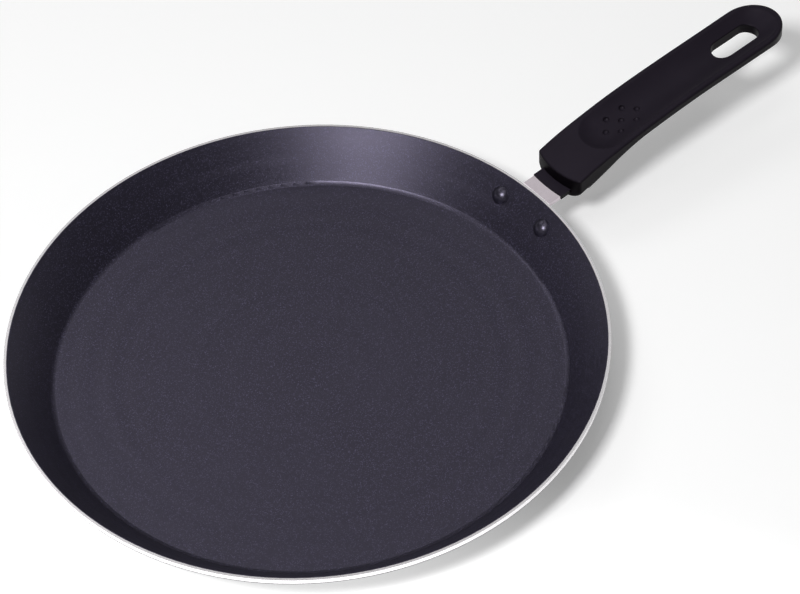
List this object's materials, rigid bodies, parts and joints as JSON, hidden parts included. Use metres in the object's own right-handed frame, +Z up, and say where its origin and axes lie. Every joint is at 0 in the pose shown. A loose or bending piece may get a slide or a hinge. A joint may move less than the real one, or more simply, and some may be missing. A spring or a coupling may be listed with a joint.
{
  "type": "crepe pan",
  "caption": "Shallow round non-stick pan with a flared wall, a flat steel strap riveted to it, and a long moulded grip with a thumb scoop and a hanging slot.",
  "frame": {"origin": "centre of the flat underside of the pan's base", "axes": "+Z up, square to the base and along the pan's axis; +X out along the grip; +Y completes the right-handed frame"},
  "size_m": [0.4398, 0.28, 0.0443],
  "materials": {
    "bare_aluminium": "turned, bright",
    "nonstick": "satin, with a fine metallic fleck",
    "enamel": "gloss",
    "bracket_steel": "polished",
    "rivet_finish": "gloss",
    "soft_touch": "soft-touch matt",
    "insert_brass": "as turned",
    "fastener_steel": "zinc plated"
  },
  "bodies": {
    "root": {"pan_body": "bare_aluminium", "nonstick_coating": "nonstick", "outer_enamel": "enamel", "handle_bracket": "bracket_steel", "rivet_left": "rivet_finish", "rivet_right": "rivet_finish", "handle_grip": "soft_touch", "threaded_insert": "insert_brass", "lock_washer": "fastener_steel", "bracket_screw": "fastener_steel"}
  },
  "joints": []
}
